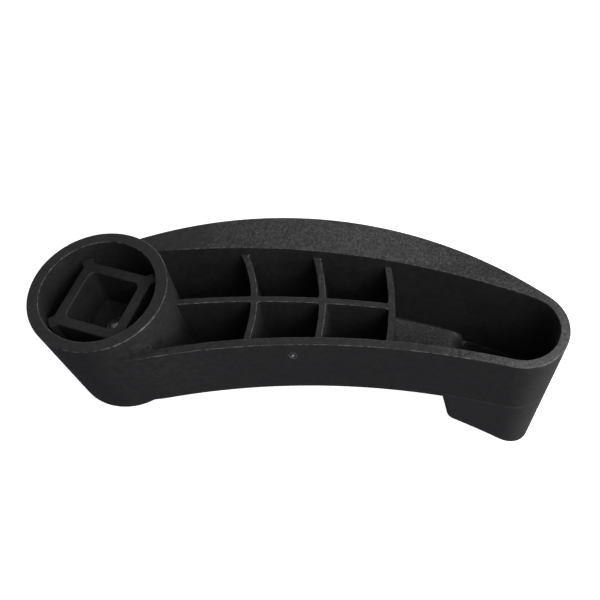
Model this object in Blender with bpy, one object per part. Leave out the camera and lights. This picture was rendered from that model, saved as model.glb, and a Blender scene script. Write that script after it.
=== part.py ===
"""Winch handle: a deep, drafted, hollow crank arm with a round hub at one end and a hollow grip at the other.

The hub carries a drop-in square drive socket, held down by one screw in a threaded insert.
The grip is a separate cup, lapped over a lip at the far end of the arm.

Frame: the drive axis is Z and the socket opens towards +Z.  +X runs from the hub to the grip.
The origin lies on the drive axis at the closed face of the hub.  Dimensions below are millimetres.
"""
import math

import bmesh
import bpy
from mathutils import Vector

MM = 0.001

# heights above the hub's closed face
HUB_TOP = 68.0
ARM_TOP = 55.0
ARM_BOTTOM = 2.5
ARM_FLOOR = 7.7
RIB_TOP = 49.5
LID_UNDERSIDE = 51.0
JOINT_Z = 9.0

# hub
HUB_R = 35.0
HUB_BORE_R = 29.1
HUB_BORE_R_LOW = 28.5
HUB_FLOOR = 4.5
HUB_EDGE_R = 3.4
TROUGH_HUB_R = 35.0
TROUGH_HUB_TAPER = math.tan(math.radians(0.5))
HUB_TAPER = math.tan(math.radians(4.0))
BOSS_R = 14.0
BOSS_TOP = 29.7

# arm outline at the arm's rim: long arcs about these centres, each tangent to the round end
NEAR_CENTRE = (129.5, -403.4)
FAR_CENTRE = (79.9, -334.0)
BACK_CENTRE = (90.3, -145.8)
END_CENTRE = (201.15, 0.1)
END_OUTER_R = 21.7
END_INNER_R = 17.4
NEAR_OUTER_R = math.dist(END_CENTRE, NEAR_CENTRE) - END_OUTER_R
NEAR_INNER_R = math.dist(END_CENTRE, NEAR_CENTRE) - END_INNER_R
FAR_INNER_R = math.dist(END_CENTRE, FAR_CENTRE) + END_INNER_R
BACK_R = math.dist(END_CENTRE, BACK_CENTRE) + END_OUTER_R
OUTER_TAPER = math.tan(math.radians(4.5))
INNER_TAPER = math.tan(math.radians(3.5))
ARM_EDGE_R = 6.0
SIDE_WALL = 4.0
SLOT_X = (34.0, 160.0)
SLOT_BACK_INSET = 7.2

# ribs in the arm, as arcs about the drive axis, and one rib along the arm
CROSS_RIB_R = (74.1, 108.0, 141.7)
RIB_T = 3.1
LONG_RIB_CENTRE = (105.4, -464.0)
LONG_RIB_R = 476.5

# grip
GRIP_LEFT_X = 166.5
GRIP_LEFT_LEAN = 0.13
GRIP_WALL = 3.4
GRIP_LEFT_WALL = 9.0
GRIP_BACK_R = math.dist(END_CENTRE, FAR_CENTRE) + END_OUTER_R
GRIP_CORNER_R = 3.0
GRIP_EDGE_R = 3.0
SILL_R = 7.5
GRIP_LOW_X = 172.0
GRIP_LOW_Z = -22.8
GRIP_SLOPE = 0.63
NEAR_POINTS = 16
END_POINTS = 22
LIP_T = 1.6
LIP_H = 7.0
FIT_GAP = 0.3

# drive socket
SOCKET_TURN = math.radians(-12.8)
SOCKET_HALF = 14.0
SOCKET_OUTER_HALF = 19.3
SOCKET_TOP = 59.3
SOCKET_FLOOR = 34.0
SOCKET_BASE = 30.0
SOCKET_CORNER = 3.5
LUG_R = 28.3
LUG_W = 6.0
KEY_HALF = 8.0
KEY_LOW = 22.0

# fastening
SCREW_R = 2.0
SCREW_HEAD_R = 4.0
SCREW_HEAD_H = 2.6
WASHER_R = 5.0
WASHER_T = 1.0
INSERT_R = 3.0
INSERT_TOP = 20.5
INSERT_LOW = 11.0


def clear_scene():
    for ob in list(bpy.data.objects):
        bpy.data.objects.remove(ob, do_unlink=True)


def material(name, colour, roughness, metallic=0.0):
    mat = bpy.data.materials.new(name)
    mat.use_nodes = True
    shader = mat.node_tree.nodes["Principled BSDF"]
    shader.inputs["Base Color"].default_value = (*colour, 1.0)
    shader.inputs["Roughness"].default_value = roughness
    shader.inputs["Metallic"].default_value = metallic
    mat.diffuse_color = (*colour, 1.0)
    return mat


def new_object(name, bm):
    bmesh.ops.recalc_face_normals(bm, faces=bm.faces)
    mesh = bpy.data.meshes.new(name)
    bm.to_mesh(mesh)
    bm.free()
    ob = bpy.data.objects.new(name, mesh)
    bpy.context.scene.collection.objects.link(ob)
    return ob


def loft(name, rings):
    """Solid through a list of rings; each ring is (points, z), and every ring has as many points."""
    bm = bmesh.new()
    levels = []
    for points, z in rings:
        levels.append([bm.verts.new((x * MM, y * MM, z * MM)) for x, y in points])
    count = len(levels[0])
    for low, high in zip(levels, levels[1:]):
        for i in range(count):
            j = (i + 1) % count
            bm.faces.new((low[i], low[j], high[j], high[i]))
    bm.faces.new(levels[0])
    bm.faces.new(levels[-1])
    return new_object(name, bm)


def circle(radius, centre=(0.0, 0.0), count=96):
    step = 2.0 * math.pi / count
    return [(centre[0] + radius * math.cos(i * step), centre[1] + radius * math.sin(i * step))
            for i in range(count)]


def round_solid(name, profile, count=96, centre=(0.0, 0.0)):
    """Turned solid; profile is a list of (radius, z) from low to high."""
    return loft(name, [(circle(r, centre, count), z) for r, z in profile])


def rounded_square(half, corner, turn, count=5):
    points = []
    for quarter in range(4):
        base = quarter * math.pi / 2.0
        for i in range(count):
            a = i * math.pi / 2.0 / (count - 1)
            x = half - corner + corner * math.cos(a)
            y = half - corner + corner * math.sin(a)
            c = math.cos(base + turn)
            s = math.sin(base + turn)
            points.append((x * c - y * s, x * s + y * c))
    return points


def boolean(target, cutter, operation):
    mod = target.modifiers.new("cut", "BOOLEAN")
    mod.operation = operation
    mod.solver = "EXACT"
    mod.object = cutter
    bpy.context.view_layer.update()
    graph = bpy.context.evaluated_depsgraph_get()
    mesh = bpy.data.meshes.new_from_object(target.evaluated_get(graph))
    target.modifiers.clear()
    target.data = mesh
    bpy.data.objects.remove(cutter, do_unlink=True)


def cut(target, cutter):
    boolean(target, cutter, "DIFFERENCE")


def join(target, other):
    boolean(target, other, "UNION")


def keep(target, other):
    boolean(target, other, "INTERSECT")


def arc(centre, radius, start, end, count):
    """Points on an arc from angle start to angle end, both included."""
    points = []
    for i in range(count):
        a = start + (end - start) * i / (count - 1)
        points.append((centre[0] + radius * math.cos(a), centre[1] + radius * math.sin(a)))
    return points


def direction(origin, target):
    return math.atan2(target[1] - origin[1], target[0] - origin[0])


def band_outline(near_r, back_centre, back_r, end_r, near_x, back_x):
    """Closed outline: the concave near side from near_x, the round end, the convex back to back_x."""
    near_end = direction(NEAR_CENTRE, END_CENTRE)
    near_start = math.acos((near_x - NEAR_CENTRE[0]) / near_r)
    back_end = direction(back_centre, END_CENTRE)
    back_start = math.acos((back_x - back_centre[0]) / back_r)
    points = arc(NEAR_CENTRE, near_r, near_start, near_end, 40)
    end_start = direction(END_CENTRE, NEAR_CENTRE)
    points += arc(END_CENTRE, end_r, end_start, back_end, 26)[1:]
    points += arc(back_centre, back_r, back_end, back_start, 48)[1:]
    return points


def outer_outline(inset):
    """Outside of the arm; its left end runs into the hub along a tangent."""
    points = band_outline(NEAR_OUTER_R + inset, BACK_CENTRE, BACK_R - inset, END_OUTER_R - inset, 24.0, -17.0)
    first = points[0]
    hub_r = hub_radius(ARM_TOP) - 0.2 - inset
    turn = math.acos(hub_r / math.hypot(first[0], first[1]))
    a = math.atan2(first[1], first[0]) - turn
    return [(hub_r * math.cos(a), hub_r * math.sin(a))] + points


def trough_outline(inset, left_x=6.0):
    return band_outline(NEAR_INNER_R + inset, FAR_CENTRE, FAR_INNER_R - inset, END_INNER_R - inset,
                        left_x, left_x)


def outer_inset(z):
    return (ARM_TOP - z) * OUTER_TAPER


def inner_inset(z):
    return (ARM_TOP - z) * INNER_TAPER


def edge_rings(outline, inset_at, low, radius, steps=6):
    """Rings that round the lower edge of a drafted outline down to the height low."""
    rings = []
    for i in range(steps):
        a = math.pi / 2.0 * (1.0 - i / steps)
        z = low + radius * (1.0 - math.sin(a))
        inset = inset_at(low + radius) + radius * (1.0 - math.cos(a))
        rings.append((outline(inset), z))
    return rings


def box(name, low, high):
    points = [(low[0], low[1]), (high[0], low[1]), (high[0], high[1]), (low[0], high[1])]
    return loft(name, [(points, low[2]), (points, high[2])])


def hub_radius(z):
    return HUB_R - (HUB_TOP - z) * HUB_TAPER


def hub_profile():
    profile = []
    steps = 5
    edge_r = hub_radius(HUB_EDGE_R)
    for i in range(steps):
        a = math.pi / 2.0 * i / steps
        profile.append((edge_r - HUB_EDGE_R * (1.0 - math.sin(a)), HUB_EDGE_R * (1.0 - math.cos(a))))
    profile.append((edge_r, HUB_EDGE_R))
    profile.append((HUB_R, HUB_TOP))
    return profile


def arc_wall(name, centre, radius, thickness, start, end, low, high, count=24):
    """Wall of even thickness that follows an arc."""
    inside = arc(centre, radius - thickness / 2.0, start, end, count)
    outside = arc(centre, radius + thickness / 2.0, start, end, count)
    points = outside + inside[::-1]
    return loft(name, [(points, low), (points, high)])


def trough_solid(name, grow, low, high, left_x=6.0):
    """The space inside the arm, made larger all round by grow."""
    rings = []
    for z in (low, high):
        rings.append((trough_outline(inner_inset(z) - grow, left_x), z))
    return loft(name, rings)


def make_arm_body():
    lower = [(outer_outline(outer_inset(ARM_BOTTOM + ARM_EDGE_R) + ARM_EDGE_R), ARM_BOTTOM)]
    rounding = edge_rings(outer_outline, outer_inset, ARM_BOTTOM, ARM_EDGE_R)
    body = loft("arm_body", lower + rounding[1:] + [
        (outer_outline(outer_inset(ARM_BOTTOM + ARM_EDGE_R)), ARM_BOTTOM + ARM_EDGE_R),
        (outer_outline(0.0), ARM_TOP),
    ])
    # the trough, left with its three cross ribs and its long rib
    trough = trough_solid("trough", 0.0, ARM_FLOOR, ARM_TOP + 5.0)
    cut(body, trough)
    for radius in CROSS_RIB_R:
        rib = arc_wall("rib", (0.0, 0.0), radius, RIB_T, -0.35, 0.75, ARM_FLOOR - 1.0, RIB_TOP)
        keep(rib, trough_solid("rib_limit", 1.0, ARM_FLOOR - 1.5, ARM_TOP))
        join(body, rib)
    stop = math.acos((CROSS_RIB_R[2] - LONG_RIB_CENTRE[0]) / LONG_RIB_R)
    start = math.acos((10.0 - LONG_RIB_CENTRE[0]) / LONG_RIB_R)
    rib = arc_wall("rib", LONG_RIB_CENTRE, LONG_RIB_R, RIB_T, start, stop, ARM_FLOOR - 1.0, RIB_TOP, 40)
    join(body, rib)
    # the slot cored into the thick back edge from the closed side
    cut_slot(body)
    # open the arm's end for the grip; the inner half of the wall stays as a lip that enters the grip
    cut(body, ring_solid("opening", [opening_ring(z) for z in (-6.0, JOINT_Z)]))
    lip = trough_solid("lip", LIP_T, JOINT_Z - LIP_H, JOINT_Z + 0.6, 150.0)
    cut(lip, trough_solid("lip_inside", -0.05, JOINT_Z - LIP_H - 1.0, JOINT_Z + 3.0, 150.0))
    keep(lip, box("lip_limit", (GRIP_LEFT_X + GRIP_LEFT_WALL + 1.0, -60.0, -6.0), (240.0, 60.0, 30.0)))
    join(body, lip)
    # hub
    hub = round_solid("hub", hub_profile())
    # towards the trough the hub is drafted the other way, like the trough's own walls
    low = ARM_FLOOR - 1.0
    trough_wall = round_solid("trough_wall", [
        (TROUGH_HUB_R + (HUB_TOP - low) * TROUGH_HUB_TAPER, low), (TROUGH_HUB_R, HUB_TOP - 0.4),
        (TROUGH_HUB_R - 0.3, HUB_TOP - 0.2),
    ])
    limit = [(trough_outline(inner_inset(z) - 1.0, 4.0), z) for z in (ARM_FLOOR - 1.5, HUB_TOP)]
    keep(trough_wall, loft("wall_limit", limit))
    join(body, hub)
    join(body, trough_wall)
    cut(body, round_solid("bore", [(HUB_BORE_R_LOW, HUB_FLOOR), (HUB_BORE_R, HUB_TOP + 0.001),
                                   (HUB_BORE_R, HUB_TOP + 5.0)]))
    boss = round_solid("boss", [(BOSS_R + 1.0, HUB_FLOOR - 1.0), (BOSS_R, BOSS_TOP)], 48)
    cut(boss, loft("key_pocket", [(rounded_square(KEY_HALF + FIT_GAP, 1.0, SOCKET_TURN), KEY_LOW - FIT_GAP),
                                  (rounded_square(KEY_HALF + FIT_GAP, 1.0, SOCKET_TURN), BOSS_TOP + 2.0)]))
    cut(boss, round_solid("insert_hole", [(INSERT_R + FIT_GAP, INSERT_LOW - 3.0),
                                          (INSERT_R + FIT_GAP, KEY_LOW + 2.0)], 32))
    join(body, boss)
    return body


def slot_outline(grow_in, grow_out):
    """Crescent between the trough's back wall and the arm's outer back wall."""
    inner_r = FAR_INNER_R + SIDE_WALL + grow_in
    outer_r = BACK_R - grow_out
    inner = []
    outer = []
    for i in range(41):
        x = SLOT_X[0] + (SLOT_X[1] - SLOT_X[0]) * i / 40.0
        y_in = FAR_CENTRE[1] + math.sqrt(inner_r ** 2 - (x - FAR_CENTRE[0]) ** 2)
        y_out = BACK_CENTRE[1] + math.sqrt(outer_r ** 2 - (x - BACK_CENTRE[0]) ** 2)
        inner.append((x, y_in))
        outer.append((x, y_out))
    return inner + outer[::-1]


def cut_slot(body):
    depth = ARM_TOP - ARM_BOTTOM
    top = (slot_outline(0.0, SLOT_BACK_INSET), LID_UNDERSIDE)
    bottom = (slot_outline(-depth * INNER_TAPER, SLOT_BACK_INSET), ARM_BOTTOM - 2.0)
    cut(body, loft("slot", [bottom, top]))


def short_arc(centre, start, end, count):
    """Points on the shorter arc about centre from start to end, without end."""
    a0 = direction(centre, start)
    turn = (direction(centre, end) - a0 + math.pi) % (2.0 * math.pi) - math.pi
    radius = (start - centre).length
    return arc(centre, radius, a0, a0 + turn * (count - 1) / count, count)


def grip_outline(z, inset, left_shift):
    """Outside of the grip at height z, moved in by inset: near side, round end, back, flat left side."""
    draft = outer_inset(z) + inset
    end = Vector(END_CENTRE)
    near = Vector(NEAR_CENTRE)
    back = Vector(FAR_CENTRE)
    near_r = NEAR_OUTER_R + draft
    back_r = GRIP_BACK_R - draft
    left_x = GRIP_LEFT_X + GRIP_LEFT_LEAN * (JOINT_Z - FIT_GAP - z) + inset + left_shift
    corner = Vector((left_x + GRIP_CORNER_R, 0.0))
    near_corner = Vector((corner.x, near.y + math.sqrt((near_r + GRIP_CORNER_R) ** 2 - (corner.x - near.x) ** 2)))
    back_corner = Vector((corner.x, back.y + math.sqrt((back_r - GRIP_CORNER_R) ** 2 - (corner.x - back.x) ** 2)))
    near_start = near + (near_corner - near).normalized() * near_r
    near_end = near + (end - near).normalized() * near_r
    back_start = back + (end - back).normalized() * back_r
    back_end = back + (back_corner - back).normalized() * back_r
    left_high = Vector((left_x, back_corner.y))
    left_low = Vector((left_x, near_corner.y))
    points = short_arc(near, near_start, near_end, NEAR_POINTS)
    points += short_arc(end, near_end, back_start, END_POINTS)
    points += short_arc(back, back_start, back_end, 16)
    points += short_arc(back_corner, back_end, left_high, 5)
    points.append(tuple(left_high))
    points += short_arc(near_corner, left_low, near_start, 5)
    return points


def grip_ring(height_at, inset, left_shift=0.0):
    """Ring of the grip's outside whose height over each x is height_at(x)."""
    high_z = 10.0
    low_z = -50.0
    ring = []
    for (x0, y0), (x1, y1) in zip(grip_outline(high_z, inset, left_shift),
                                  grip_outline(low_z, inset, left_shift)):
        t = 0.0
        for _ in range(6):
            z = height_at(x0 + (x1 - x0) * t)
            t = (high_z - z) / (high_z - low_z)
        ring.append((x0 + (x1 - x0) * t, y0 + (y1 - y0) * t, z))
    return ring


def opening_ring(z):
    """Ring of the arm's opening for the grip: it leaves a gap on the left and back, and is wide open elsewhere."""
    ring = grip_ring(lambda x: z, -FIT_GAP)
    near_start = ring[0]
    back_start = ring[NEAR_POINTS + END_POINTS]
    away = direction(FAR_CENTRE, END_CENTRE)
    out_x = back_start[0] + 30.0 * math.cos(away)
    out_y = back_start[1] + 30.0 * math.sin(away)
    wide = [near_start, (near_start[0], -60.0, z), (260.0, -60.0, z), (260.0, out_y, z), (out_x, out_y, z)]
    return wide + ring[NEAR_POINTS + END_POINTS:]


def ring_solid(name, rings):
    """Solid through rings of (x, y, z) points; each ring has as many points as the next."""
    bm = bmesh.new()
    levels = [[bm.verts.new(Vector(point) * MM) for point in ring] for ring in rings]
    count = len(levels[0])
    for low, high in zip(levels, levels[1:]):
        for i in range(count):
            j = (i + 1) % count
            bm.faces.new((low[i], low[j], high[j], high[i]))
    bm.faces.new(levels[0])
    bm.faces.new(levels[-1])
    return new_object(name, bm)


def grip_solid(name, inset, left_shift, wall_top, upper):
    """Grip-shaped solid moved in by inset, with a rounded, sloped lower end; upper lists (z, left shift)."""
    steps = 4

    def slope(x, rise):
        return GRIP_LOW_Z - (x - GRIP_LOW_X) * GRIP_SLOPE + inset + rise

    rings = []
    for i in range(steps):
        a = math.pi / 2.0 * i / steps
        rise = GRIP_EDGE_R * (1.0 - math.cos(a))
        rings.append(grip_ring(lambda x, rise=rise: slope(x, rise),
                               inset + GRIP_EDGE_R * (1.0 - math.sin(a)), left_shift))
    for share in (0.0, 0.5):
        rings.append(grip_ring(lambda x, share=share: wall_top * share + slope(x, GRIP_EDGE_R) * (1.0 - share),
                               inset, left_shift))
    for z, shift in upper:
        rings.append(grip_ring(lambda x, z=z: z, inset, left_shift + shift))
    return ring_solid(name, rings)


def make_grip():
    top = JOINT_Z - FIT_GAP
    grip = grip_solid("grip", 0.0, 0.0, top, [(top, 0.0)])
    # the hollow, whose left side rounds over into the arm's floor
    low = ARM_FLOOR - SILL_R
    sill = []
    for i in range(6):
        a = math.radians(75.0) * i / 5.0
        sill.append((low + SILL_R * math.sin(a), -SILL_R * (1.0 - math.cos(a))))
    sill += [(ARM_FLOOR + 0.4, -SILL_R), (JOINT_Z + 20.0, -SILL_R)]
    cut(grip, grip_solid("grip_inside", GRIP_WALL, GRIP_LEFT_WALL - GRIP_WALL, low, sill))
    # the rebate for the arm's lip
    inside_x = GRIP_LEFT_X + GRIP_LEFT_WALL
    rebate = trough_solid("rebate", LIP_T + FIT_GAP, JOINT_Z - LIP_H - FIT_GAP, JOINT_Z + 5.0, 150.0)
    keep(rebate, box("rebate_limit", (inside_x + 0.7, -60.0, -6.0), (240.0, 60.0, 30.0)))
    cut(grip, rebate)
    # level the left wall with the arm's floor
    step = trough_solid("step", 0.0, ARM_FLOOR, JOINT_Z + 5.0, 150.0)
    keep(step, box("step_limit", (150.0, -60.0, -6.0), (inside_x + 2.0, 60.0, 30.0)))
    cut(grip, step)
    return grip


def make_socket():
    socket = loft("drive_socket", [
        (rounded_square(SOCKET_OUTER_HALF, 1.5, SOCKET_TURN), SOCKET_BASE),
        (rounded_square(SOCKET_OUTER_HALF, 1.5, SOCKET_TURN), SOCKET_TOP),
    ])
    for quarter in range(4):
        a = SOCKET_TURN + math.pi / 4.0 + quarter * math.pi / 2.0
        along = Vector((math.cos(a), math.sin(a)))
        across = Vector((-math.sin(a), math.cos(a)))
        corners = []
        for reach, side in ((20.0, -1.0), (LUG_R, -1.0), (LUG_R, 1.0), (20.0, 1.0)):
            point = along * reach + across * (side * LUG_W / 2.0)
            corners.append((point.x, point.y))
        join(socket, loft("lug", [(corners, SOCKET_BASE), (corners, SOCKET_TOP)]))
    join(socket, loft("key", [(rounded_square(KEY_HALF, 0.8, SOCKET_TURN), KEY_LOW),
                              (rounded_square(KEY_HALF, 0.8, SOCKET_TURN), SOCKET_BASE + 1.0)]))
    cut(socket, loft("mouth", [
        (rounded_square(SOCKET_HALF, SOCKET_CORNER, SOCKET_TURN), SOCKET_FLOOR),
        (rounded_square(SOCKET_HALF, SOCKET_CORNER, SOCKET_TURN), SOCKET_TOP + 3.0),
    ]))
    cut(socket, round_solid("screw_hole", [(SCREW_R + FIT_GAP, 20.0), (SCREW_R + FIT_GAP, 50.0)], 32))
    return socket


def make_screw():
    low = SOCKET_FLOOR + FIT_GAP + WASHER_T + FIT_GAP
    screw = round_solid("socket_screw", [
        (SCREW_HEAD_R * 0.96, low), (SCREW_HEAD_R, low + 0.4), (SCREW_HEAD_R, low + 1.4),
        (SCREW_HEAD_R * 0.86, low + 2.1), (SCREW_HEAD_R * 0.6, low + SCREW_HEAD_H),
    ], 40)
    shank = round_solid("shank", [(SCREW_R * 0.7, INSERT_LOW + 0.6), (SCREW_R, INSERT_LOW + 1.4),
                                  (SCREW_R, low + 0.5)], 40)
    join(screw, shank)
    cut(screw, round_solid("drive", [(1.2, low + 1.2), (1.3, low + 4.0)], 6))
    return screw


def make_washer():
    low = SOCKET_FLOOR + FIT_GAP
    washer = round_solid("socket_washer", [(WASHER_R, low), (WASHER_R, low + WASHER_T)], 48)
    cut(washer, round_solid("hole", [(SCREW_R + FIT_GAP, low - 1.0), (SCREW_R + FIT_GAP, low + 3.0)], 32))
    return washer


def make_insert():
    insert = round_solid("threaded_insert", [
        (INSERT_R, INSERT_LOW), (INSERT_R, 14.5), (INSERT_R - 0.4, 14.9), (INSERT_R - 0.4, 16.1),
        (INSERT_R, 16.5), (INSERT_R, INSERT_TOP),
    ], 40)
    cut(insert, round_solid("hole", [(SCREW_R + FIT_GAP, INSERT_LOW - 1.0),
                                     (SCREW_R + FIT_GAP, INSERT_TOP + 1.0)], 32))
    return insert


def finish(ob, mat):
    ob.data.materials.clear()
    ob.data.materials.append(mat)
    ob.data.shade_smooth()
    ob.data.set_sharp_from_angle(angle=math.radians(30.0))


def main():
    clear_scene()
    black = (0.012, 0.012, 0.013)
    finish(make_arm_body(), material("arm_nylon", black, 0.55))
    finish(make_grip(), material("grip_nylon", black, 0.55))
    finish(make_socket(), material("socket_nylon", black, 0.55))
    finish(make_screw(), material("screw_steel", (0.62, 0.62, 0.6), 0.3, 1.0))
    finish(make_washer(), material("washer_steel", (0.62, 0.62, 0.6), 0.35, 1.0))
    finish(make_insert(), material("insert_brass", (0.7, 0.52, 0.24), 0.35, 1.0))


main()
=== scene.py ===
"""Looks of the winch handle: finer meshes, moulded-nylon and metal materials, studio light and the camera.

Millimetres are used for shapes, in the row frame: the drive axis is Z, +X runs from the hub to the grip and
the origin lies at the hub's closed face.
"""
import math

import bmesh
import bpy
from mathutils import Matrix, Vector


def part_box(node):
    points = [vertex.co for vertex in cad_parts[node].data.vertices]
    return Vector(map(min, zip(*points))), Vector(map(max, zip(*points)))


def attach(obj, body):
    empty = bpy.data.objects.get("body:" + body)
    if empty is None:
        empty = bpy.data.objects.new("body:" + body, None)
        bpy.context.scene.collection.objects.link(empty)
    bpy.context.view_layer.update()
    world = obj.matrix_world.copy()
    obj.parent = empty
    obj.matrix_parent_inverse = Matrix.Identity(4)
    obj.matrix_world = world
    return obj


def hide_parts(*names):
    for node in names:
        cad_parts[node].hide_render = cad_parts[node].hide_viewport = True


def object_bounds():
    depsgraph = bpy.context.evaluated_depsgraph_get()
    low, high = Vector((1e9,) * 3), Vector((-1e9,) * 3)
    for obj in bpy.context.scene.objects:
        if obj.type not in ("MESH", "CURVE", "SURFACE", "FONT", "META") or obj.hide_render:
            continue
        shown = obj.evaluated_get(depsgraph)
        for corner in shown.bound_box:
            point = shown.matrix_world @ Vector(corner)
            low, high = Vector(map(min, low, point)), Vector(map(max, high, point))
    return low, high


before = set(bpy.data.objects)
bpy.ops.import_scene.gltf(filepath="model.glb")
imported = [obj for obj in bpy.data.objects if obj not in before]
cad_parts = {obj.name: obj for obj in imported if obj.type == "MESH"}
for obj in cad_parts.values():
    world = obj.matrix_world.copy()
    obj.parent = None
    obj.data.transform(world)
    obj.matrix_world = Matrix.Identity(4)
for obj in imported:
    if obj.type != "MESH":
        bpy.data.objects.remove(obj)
CAD_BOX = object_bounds()

MM = 0.001
ARM_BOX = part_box("arm_body")
GRIP_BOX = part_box("grip")
SOCKET_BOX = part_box("drive_socket")
SCREW_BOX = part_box("socket_screw")
WASHER_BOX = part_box("socket_washer")
INSERT_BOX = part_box("threaded_insert")

# sizes that the frame gives
HUB_TOP = ARM_BOX[1].z / MM
HUB_R = -ARM_BOX[0].x / MM
JOINT_Z = GRIP_BOX[1].z / MM
SOCKET_TOP = SOCKET_BOX[1].z / MM
SOCKET_KEY_LOW = SOCKET_BOX[0].z / MM
SCREW_TOP = SCREW_BOX[1].z / MM
WASHER_LOW = WASHER_BOX[0].z / MM
WASHER_TOP = WASHER_BOX[1].z / MM
WASHER_R = (WASHER_BOX[1].x - WASHER_BOX[0].x) / 2.0 / MM
INSERT_TOP = INSERT_BOX[1].z / MM
INSERT_LOW = INSERT_BOX[0].z / MM

# the other sizes repeat the solid model's
ARM_TOP = 55.0
ARM_BOTTOM = 2.5
ARM_FLOOR = 7.7
RIB_TOP = 49.5
LID_UNDERSIDE = 51.0
HUB_BORE_R = 29.1
HUB_BORE_R_LOW = 28.5
HUB_FLOOR = 4.5
HUB_EDGE_R = 3.4
TROUGH_HUB_R = 35.0
TROUGH_HUB_TAPER = math.tan(math.radians(0.5))
HUB_TAPER = math.tan(math.radians(4.0))
BOSS_R = 14.0
BOSS_TOP = 29.7
NEAR_CENTRE = (129.5, -403.4)
FAR_CENTRE = (79.9, -334.0)
BACK_CENTRE = (90.3, -145.8)
END_CENTRE = (201.15, 0.1)
END_OUTER_R = 21.7
END_INNER_R = 17.4
NEAR_OUTER_R = math.dist(END_CENTRE, NEAR_CENTRE) - END_OUTER_R
NEAR_INNER_R = math.dist(END_CENTRE, NEAR_CENTRE) - END_INNER_R
FAR_INNER_R = math.dist(END_CENTRE, FAR_CENTRE) + END_INNER_R
BACK_R = math.dist(END_CENTRE, BACK_CENTRE) + END_OUTER_R
GRIP_BACK_R = math.dist(END_CENTRE, FAR_CENTRE) + END_OUTER_R
OUTER_TAPER = math.tan(math.radians(4.5))
INNER_TAPER = math.tan(math.radians(3.5))
ARM_EDGE_R = 6.0
SIDE_WALL = 4.0
SLOT_X = (34.0, 160.0)
SLOT_BACK_INSET = 7.2
CROSS_RIB_R = (74.1, 108.0, 141.7)
RIB_T = 3.1
LONG_RIB_CENTRE = (105.4, -464.0)
LONG_RIB_R = 476.5
GRIP_LEFT_X = 166.5
GRIP_LEFT_LEAN = 0.13
GRIP_WALL = 3.4
GRIP_LOW_X = 172.0
GRIP_LOW_Z = -22.8
GRIP_SLOPE = 0.63
GRIP_EDGE_R = 3.0
GRIP_CORNER_R = 3.0
GRIP_LEFT_WALL = 9.0
SILL_R = 7.5
LIP_T = 1.6
LIP_H = 7.0
SOCKET_TURN = math.radians(-12.8)
SOCKET_HALF = 14.0
SOCKET_OUTER_HALF = 19.3
SOCKET_FLOOR = 34.0
SOCKET_BASE = 30.0
SOCKET_CORNER = 3.5
LUG_R = 28.3
LUG_W = 6.0
KEY_HALF = 8.0
SCREW_R = 2.0
SCREW_HEAD_R = 4.0

# roundings and hair gaps that only the looks need
RIM_EDGE_R = 0.6
TROUGH_EDGE_R = 0.45
HUB_RIM_EDGE_R = 0.8
RIB_EDGE_R = 0.5
RIB_CORNER_R = 1.3
HUB_CORNER_R = 2.5
FOOT_R = 1.4
HUB_FOOT_R = 1.0
SOCKET_EDGE_R = 0.6
HIDDEN_BY = 0.06
SEAM = 0.05
# a circle this large stands for a straight side
STRAIGHT_R = 1.0e5
# a hollow's rim flares open up to this angle, so that no cutter ends flush with a face
FLARE_STOP = math.radians(75.0)
# points that tell which of two meeting points of circles is meant: in the arm and in the grip
ARM_HINT = (100.0, 15.0)
GRIP_HINT = (190.0, 0.0)
# plain cutting blocks at the grip's end reach this far
BLOCK_X = (150.0, 240.0)
BLOCK_Y = (-60.0, 60.0)
BLOCK_Z = (-6.0, 30.0)
# where the arm's near and back sides run into the hub
NEAR_START_X = 24.0
BACK_END_X = -17.0
# where the moulding's sprue was cut off the near wall
GATE_X = 95.8
GATE_Z = 43.1
GATE_TALL = 1.7
# the middle of the scuffed corner, in metres
SCUFF_PLACE = (0.033, -0.025, 0.045)

# the camera, in metres and, for its lens, in millimetres on a 36 mm sensor
CAMERA_PLACE = Vector((0.1654, -0.2068, 0.3870))
CAMERA_FORWARD = Vector((-0.1695, 0.5362, -0.8269))
CAMERA_UP = Vector((-0.0498, 0.8333, 0.5506))
CAMERA_LENS = 49.94


def new_object(name, bm):
    bmesh.ops.recalc_face_normals(bm, faces=bm.faces)
    mesh = bpy.data.meshes.new(name)
    bm.to_mesh(mesh)
    bm.free()
    ob = bpy.data.objects.new(name, mesh)
    bpy.context.scene.collection.objects.link(ob)
    return ob


def loft(name, rings):
    """Closed solid through rings of (x, y, z) points, each ring with as many points as the next."""
    bm = bmesh.new()
    levels = [[bm.verts.new(Vector(p) * MM) for p in ring] for ring in rings]
    count = len(levels[0])
    for low, high in zip(levels, levels[1:]):
        for i in range(count):
            j = (i + 1) % count
            bm.faces.new((low[i], low[j], high[j], high[i]))
    bm.faces.new(levels[0])
    bm.faces.new(levels[-1])
    return new_object(name, bm)


def flat(points, z):
    return [(x, y, z) for x, y in points]


def boolean(target, cutter, operation):
    mod = target.modifiers.new("cut", "BOOLEAN")
    mod.operation = operation
    mod.solver = "EXACT"
    mod.object = cutter
    bpy.context.view_layer.update()
    graph = bpy.context.evaluated_depsgraph_get()
    mesh = bpy.data.meshes.new_from_object(target.evaluated_get(graph))
    target.modifiers.clear()
    target.data = mesh
    bpy.data.objects.remove(cutter, do_unlink=True)


def cut(target, cutter):
    boolean(target, cutter, "DIFFERENCE")


def join(target, other):
    boolean(target, other, "UNION")


def keep(target, other):
    boolean(target, other, "INTERSECT")


def merge(name, obs):
    """One object made of several solids that don't touch."""
    bm = bmesh.new()
    for ob in obs:
        bm.from_mesh(ob.data)
        bpy.data.objects.remove(ob, do_unlink=True)
    return new_object(name, bm)


# outlines: a region bounded by circles, met in turn, with every corner rounded

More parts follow.
